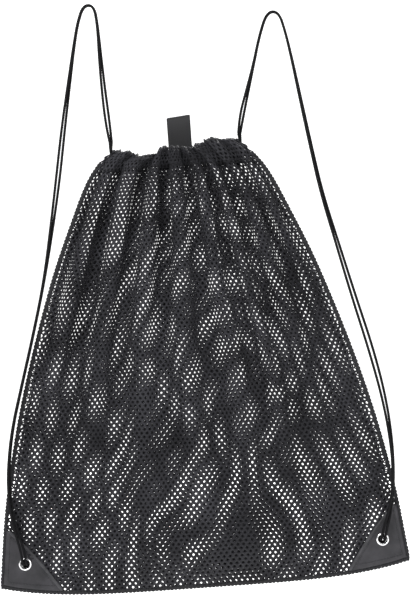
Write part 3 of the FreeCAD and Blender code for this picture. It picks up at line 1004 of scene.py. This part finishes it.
def patch_domain():
    """Triangles over (down, over x down) with a round hole where the eyelet goes through."""
    outline = [(PATCH_TIP, 0.0), (1.0, 0.0), (1.0, 1.0), (PATCH_TIP, PATCH_TIP)]
    border = []
    for (x0, y0), (x1, y1) in zip(outline, outline[1:] + outline[:1]):
        count = max(2, int(math.hypot(x1 - x0, y1 - y0) * PATCH_ROWS))
        border += [(x0 + (x1 - x0) * k / count, y0 + (y1 - y0) * k / count) for k in range(count)]
    target = np.array([EYELET_X, -EYELET_Z])

    def plan(p):
        at = patch_at(np.array([p[0]]), np.array([p[1] / p[0]]), 0, 1, -1)[0]
        return np.array([at[0], -at[2]])

    middle = np.array([0.6, 0.3])
    for _ in range(12):
        here = plan(middle)
        downward = (plan(middle + (PLAN_NUDGE, 0)) - here) / PLAN_NUDGE
        inward = (plan(middle + (0, PLAN_NUDGE)) - here) / PLAN_NUDGE
        slope = np.stack([downward, inward], 1)
        middle = middle + np.linalg.solve(slope, target - here)
    slope = np.linalg.inv(slope)
    hole = []
    for k in range(HOLE_SIDES):
        angle = k * TURN / HOLE_SIDES
        rim = np.array([math.cos(angle), math.sin(angle)]) * (BARREL + HOLE_PLAY)
        hole.append(tuple(middle + slope @ rim))
    points = list(border) + hole
    edges = [(k, (k + 1) % len(border)) for k in range(len(border))]
    edges += [(len(border) + k, len(border) + (k + 1) % HOLE_SIDES) for k in range(HOLE_SIDES)]
    for i in range(1, PATCH_ROWS):
        for j in range(1, i):
            down = PATCH_TIP + (1 - PATCH_TIP) * i / PATCH_ROWS
            p = np.array([down, down * j / i])
            if np.linalg.norm(plan(p) - target) > BARREL + HOLE_CLEAR:
                points.append(tuple(p))
    made = delaunay_2d_cdt([Vector(p) for p in points], edges, [], 1, 1e-6)
    flat = np.array([tuple(v) for v in made[0]])
    faces = []
    for face in made[2]:
        heart = flat[list(face)].mean(0)
        if np.linalg.norm(plan(heart) - target) > BARREL:
            faces.append(list(face))
    return flat, faces


PATCH_FLAT, PATCH_FACES = patch_domain()


def patch_puff(down, over):
    return PATCH_PUFF * np.sin(math.pi * over) * np.sin(math.pi * down)


def make_patch(name, x_side, y_side, replaced):
    down = PATCH_FLAT[:, 0]
    over = PATCH_FLAT[:, 1] / down
    border = 1 - step(0, 0.05, np.minimum(PATCH_FLAT[:, 1], 1 - down))
    thick = PATCH_THICKNESS * (1 - 0.45 * border) + patch_puff(down, np.clip(over, 0, 1))
    near = patch_at(down, over, PATCH_OUT - 0.1, x_side, y_side)
    far = patch_at(down, over, PATCH_OUT + thick, x_side, y_side)
    count = len(near)
    points = np.concatenate([near, far])
    flip = x_side * y_side > 0
    faces = []
    uses = {}
    for face in PATCH_FACES:
        faces.append([count + i for i in (face if flip else face[::-1])])
        faces.append(list(face[::-1] if flip else face))
        for a, b in zip(face, face[1:] + face[:1]):
            uses.setdefault((min(a, b), max(a, b)), []).append((a, b))
    for found in uses.values():
        if len(found) == 1:
            a, b = found[0]
            side = [a, b, count + b, count + a]
            faces.append(side if flip else side[::-1])
    piece = solid(name, hung(points), faces, "patch")
    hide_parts(replaced)
    slant = np.linspace(0.05, 0.985, 120)
    ones = np.ones(len(slant))
    line = patch_at(slant, ones * 0.995, PATCH_OUT + 0.7, x_side, y_side)
    pipe_points, pipe_faces = swept(hung(line), PIPING * MM, 12, wide=1.3, deep=0.75, up=FORWARD)
    solid(name + "_piping", pipe_points, pipe_faces, "piping")
    slant = np.linspace(0.13, 0.95, PATCH_SEW_SAMPLES)
    upright = np.linspace(0.14, 0.94, PATCH_SEW_SAMPLES)
    foot = np.linspace(0.08, 0.92, PATCH_SEW_SAMPLES)
    for label, downs, overs in (
        ("slant", slant, 1 - PATCH_SEW / (PATCH_RUN * slant)),
        ("side", upright, PATCH_SEW / (PATCH_RUN * upright)),
        ("foot", np.full(PATCH_SEW_SAMPLES, 0.93), foot),
    ):
        level = PATCH_OUT + PATCH_THICKNESS + patch_puff(downs, overs)
        row = patch_at(downs, overs, level, x_side, y_side)
        outs = np.tile([0.0, float(y_side), 0.0], (len(row), 1))
        stitch_row(f"{name}_{label}_stitches", row, outs, 2.5, 3.6, 0.6)


for which, x_side in (("left", -1), ("right", 1)):
    for place, y_side in (("front", -1), ("back", 1)):
        name = f"{which}_{place}_patch"
        make_patch(name + "_leather", x_side, y_side, name)


# ---- eyelets, washers and knots
def lathe(profile, x, around=56):
    """Points and faces of a closed profile of (radius, y) turned about the eyelet's axis."""
    angles = np.arange(around) * TURN / around
    profile = np.array(profile)
    count = len(profile)
    ring = np.stack([
        x + np.cos(angles)[:, None] * profile[None, :, 0],
        np.broadcast_to(profile[None, :, 1], (around, count)),
        EYELET_Z + np.sin(angles)[:, None] * profile[None, :, 0],
    ], -1)
    faces = []
    for i in range(around):
        for k in range(count):
            n = (k + 1) % count
            here, beyond = i * count, ((i + 1) % around) * count
            faces.append([here + k, here + n, beyond + n, beyond + k])
    return ring.reshape(-1, 3), faces


# Closed outlines of (radius, y)
FLANGE_PROFILE = [
    (4.80, -0.2), (4.80, -3.1), (4.95, -3.75), (5.30, -4.10), (5.80, -4.22), (6.35, -4.10),
    (6.85, -3.75), (7.20, -3.35), (7.30, -3.00), (7.10, -2.85), (6.60, -2.95), (6, -3.05),
    (5.40, -2.9), (5.40, 2.9), (5.55, 3.35), (5.9, 3.62), (6.15, 3.72), (6.1, 3.95), (5.75, 4.05),
    (5.3, 3.98), (4.95, 3.65), (4.80, 3.1),
]
WASHER_PROFILE = [
    (5.5, 2.9), (5.6, 3.25), (6.2, 3.45), (6.8, 3.4), (7.2, 3.15), (7.3, 2.85), (6.6, 2.75),
    (6, 2.75),
]
KNOT_START = -2.2  # just behind the strands' ends
KNOT_ACROSS = 2.0
WRAP_RADIUS = 3.9
WRAP_BEHIND = 5.3  # where it begins, and how far back it goes
WRAP_LENGTH = 3.3
WRAP_POINTS = 15  # on its turns, eight to a turn


def knot_line(x, kind):
    """Points for one of the two cord ends at an eyelet, in the sack's frame."""
    z = EYELET_Z
    if kind == "core":
        return [
            (x - KNOT_ACROSS, KNOT_START, z), (x - KNOT_ACROSS, 3.0, z), (x - 1.6, 5.6, z + 0.5),
            (x - 0.8, 8.6, z + 0.2), (x - 1.4, 11.0, z - 2.6), (x - 3.0, 10.2, z - 8.0),
            (x - 4.6, 9.4, z - 14.0), (x - 5.4, 9.2, z - 19.0),
        ]
    turns = []
    for k in range(WRAP_POINTS):
        angle = math.pi * 0.1 + k * TURN / 8
        behind = WRAP_BEHIND + WRAP_LENGTH * k / (WRAP_POINTS - 1)
        turns.append((x + WRAP_RADIUS * math.cos(angle), behind, z + WRAP_RADIUS * math.sin(angle)))
    tail = [(x + 3.2, 9.4, z - 6.5), (x + 4.4, 9.0, z - 12.0), (x + 5.4, 8.6, z - 17.5)]
    return [(x + KNOT_ACROSS, KNOT_START, z), (x + KNOT_ACROSS, 3.2, z)] + turns + tail


knots = {}
for which, x in (("left", -EYELET_X), ("right", EYELET_X)):
    for part, profile in (("eyelet", FLANGE_PROFILE), ("washer", WASHER_PROFILE)):
        points, faces = lathe(profile, x)
        piece = solid(f"{which}_{part}_metal", hung(points), faces, "eyelet")
        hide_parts(f"{which}_{part}")
    knots[which] = []
    for kind in ("core", "wrap"):
        piece, _ = cord_piece(f"{which}_knot_{kind}", hung(knot_line(x, kind)), KNOT_STEPS)
        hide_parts(which + "_knot")
        knots[which].append(piece)


# ---- the hang tab
TAB_ACROSS = 5.0
TAB_WIDTH = 26.4
TAPE = 1.3  # its thickness
TAPE_RIBS = 8
TAPE_SLANT = 1.2
# The loop seen from its side: (y, z), from the tail's foot up, over the top and down again
TAB_SIDE = [
    (27.6, -24), (27.5, -14), (27.2, -5), (27.3, 0.5), (28.6, 9), (29.8, 19), (29.9, 25.4),
    (28.6, 29.4), (26.2, 30.6), (23.8, 29.2), (22.5, 25.2), (22.7, 18), (24.2, 8), (25.5, 0),
    (25.9, -5), (26, -10),
]


def tape_piece(name, line, body):
    """Flat webbing along a line of (y, z), drawn across its width, with rounded edges and a slant."""
    path = spline_points([(0, y * MM, z * MM) for y, z in line], TAB_STEPS) / MM
    ahead = np.gradient(path[:, 1:], axis=0)
    ahead /= np.linalg.norm(ahead, axis=1)[:, None]
    normal = np.stack([-ahead[:, 1], ahead[:, 0]], 1)
    across = np.linspace(-1, 1, 33)
    thin = TAPE / 2 * np.sqrt(np.clip(1 - np.abs(across) ** 14, 0.06, 1))
    ribs = 1 + 0.10 * np.cos(TURN * across * TAPE_RIBS)
    layers = []
    for sign in (1, -1):
        offset = sign * thin * ribs
        x = TAB_ACROSS + across * TAB_WIDTH / 2
        height = path[:, 1:2] + normal[:, 0:1] * offset[None, :]
        z = path[:, 2:3] + normal[:, 1:2] * offset[None, :]
        slant = step(0, 30, z) * across[None, :] * TAPE_SLANT
        layers.append(np.stack([np.broadcast_to(x, z.shape), height, z + slant], -1))
    count, wide = layers[0].shape[:2]
    points = np.concatenate([layer.reshape(-1, 3) for layer in layers])
    other = count * wide
    faces = []
    for i in range(count - 1):
        for k in range(wide - 1):
            a = i * wide + k
            faces.append([a, a + 1, a + wide + 1, a + wide])
            faces.append([other + a, other + a + wide, other + a + wide + 1, other + a + 1])
        for k in (0, wide - 1):
            a = i * wide + k
            side = [a, a + wide, other + a + wide, other + a]
            faces.append(side if k == 0 else side[::-1])
    for i in (0, count - 1):
        for k in range(wide - 1):
            a = i * wide + k
            side = [a, other + a, other + a + 1, a + 1]
            faces.append(side if i == 0 else side[::-1])
    return solid(name, hung(points), faces, "webbing", body)


tab = tape_piece("hang_tab_tape", TAB_SIDE, None)
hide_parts("tab_loop", "tab_tail")
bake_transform(tab)


# ---- floor, backdrop and light
# In metres
FLOOR_Z = -0.70
STAGE_HALF = 6.0
WALL_Y = 6.0
WALL_TOP = 4.0
COVE = 1.6
COVE_STEPS = 24
PAPER_GLOW = 0.6
STUDIO_GLOW = 0.32


def make_stage():
    """White paper that runs from the floor up the wall in one sweep."""
    line = [(-STAGE_HALF, FLOOR_Z)]
    for k in range(COVE_STEPS + 1):
        angle = k * math.pi / 2 / COVE_STEPS
        line.append((WALL_Y - COVE + COVE * math.sin(angle), FLOOR_Z + COVE - COVE * math.cos(angle)))
    line.append((WALL_Y, WALL_TOP))
    points = [(x, y, z) for x in (-STAGE_HALF, STAGE_HALF) for y, z in line]
    count = len(line)
    faces = [[k, k + 1, count + k + 1, count + k] for k in range(count - 1)]
    data = bpy.data.meshes.new("stage")
    data.from_pydata(points, [], faces)
    data.polygons.foreach_set("use_smooth", np.ones(len(faces), bool))
    made, tree, shader = material("stage_paper", 0.9)
    put(shader, "Base Color", (0.97, 0.97, 0.97, 1))
    put(shader, "Specular IOR Level", 0.1)
    put(shader, "Emission Color", (1, 1, 1, 1))
    put(shader, "Emission Strength", PAPER_GLOW)
    data.materials.append(made)
    stage = bpy.data.objects.new("stage", data)
    bpy.context.scene.collection.objects.link(stage)


def area_light(name, place, target, size, power):
    data = bpy.data.lights.new(name, "AREA")
    data.shape = "DISK"
    data.size = size
    data.energy = power
    lamp = bpy.data.objects.new(name, data)
    lamp.location = place
    lamp.rotation_euler = (Vector(target) - Vector(place)).to_track_quat("-Z", "Y").to_euler()
    bpy.context.scene.collection.objects.link(lamp)


make_stage()
MIDDLE = (0.03, 0.0, -0.33)
area_light("key", (-1.3, -2.2, 1.3), MIDDLE, 1.2, 95)
area_light("fill", (1.8, -2.0, 0.4), MIDDLE, 1.8, 34)
area_light("back", (0.8, 2.3, 1.4), MIDDLE, 1.6, 60)
world = bpy.data.worlds.new("studio")
world.use_nodes = True
background = world.node_tree.nodes["Background"]
put(background, "Color", (1, 1, 1, 1))
put(background, "Strength", STUDIO_GLOW)
bpy.context.scene.world = world
bpy.context.scene.view_settings.view_transform = "Standard"
